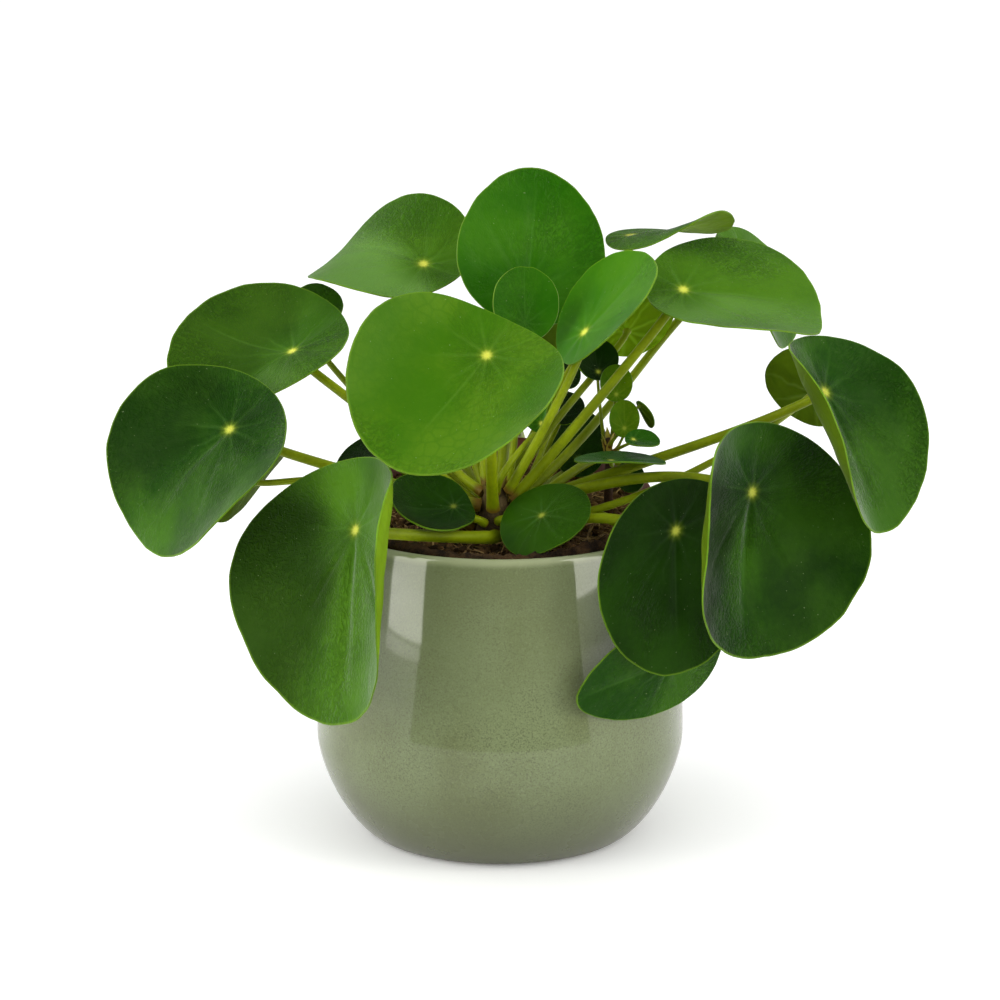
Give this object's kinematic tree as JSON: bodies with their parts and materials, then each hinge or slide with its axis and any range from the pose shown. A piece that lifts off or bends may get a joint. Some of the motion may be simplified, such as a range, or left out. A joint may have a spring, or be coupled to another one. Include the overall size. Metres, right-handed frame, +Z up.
{
  "type": "potted pilea plant",
  "caption": "Bushy houseplant with round flat leaves on long thin stalks, growing in a nursery pot of peat inside a round-bellied glazed pot.",
  "frame": {"origin": "middle of the outer pot's flat foot, on the surface that it stands on", "axes": "+Z up along the outer pot's axis, -Y towards the plant's show side, +X to the right seen from there"},
  "size_m": [0.3222, 0.2379, 0.2621],
  "materials": {
    "sage_glaze": "gloss",
    "brown_plastic": "satin",
    "peat": "matte",
    "stem_bark": "matte",
    "leaf_green": "satin",
    "young_leaf_green": "satin"
  },
  "bodies": {
    "root": {"outer_pot": "sage_glaze", "nursery_pot": "brown_plastic", "soil": "peat", "main_stem": "stem_bark", "pup_stem": "stem_bark", "leaf_left_outer": "leaf_green", "leaf_left_outer_behind": "leaf_green", "leaf_left_upper": "leaf_green", "leaf_left_upper_behind": "leaf_green", "leaf_back_left_top": "leaf_green", "leaf_front_top": "young_leaf_green", "leaf_front_left_low": "leaf_green", "leaf_top_upright": "young_leaf_green", "leaf_top_young": "young_leaf_green", "leaf_top_bright": "young_leaf_green", "leaf_right_inner": "young_leaf_green", "leaf_right_upper": "leaf_green", "leaf_back_right_top": "leaf_green", "leaf_back_right": "leaf_green", "leaf_right_outer": "leaf_green", "leaf_right_outer_behind": "leaf_green", "leaf_right_front": "leaf_green", "leaf_front_right_low": "leaf_green", "leaf_front_right_lowest": "leaf_green", "leaf_small_front": "leaf_green", "leaf_small_left": "leaf_green", "leaf_back_left_low": "leaf_green", "leaf_inner_back": "leaf_green", "leaf_inner_small": "leaf_green", "leaf_inner_top": "leaf_green", "leaf_inner_folded": "young_leaf_green", "leaf_rear_left": "leaf_green", "leaf_rear_middle": "leaf_green", "leaf_rear_far_left": "leaf_green", "leaf_rear_right": "leaf_green", "leaf_rear_top": "leaf_green", "leaf_rear_upper": "leaf_green", "pup_leaf_front": "young_leaf_green", "pup_leaf_top": "young_leaf_green", "pup_leaf_right": "young_leaf_green", "pup_leaf_right_upper": "young_leaf_green", "pup_leaf_level": "young_leaf_green", "pup_leaf_low": "young_leaf_green", "pup_leaf_tall": "young_leaf_green", "pup_leaf_bud": "young_leaf_green"}
  },
  "joints": []
}
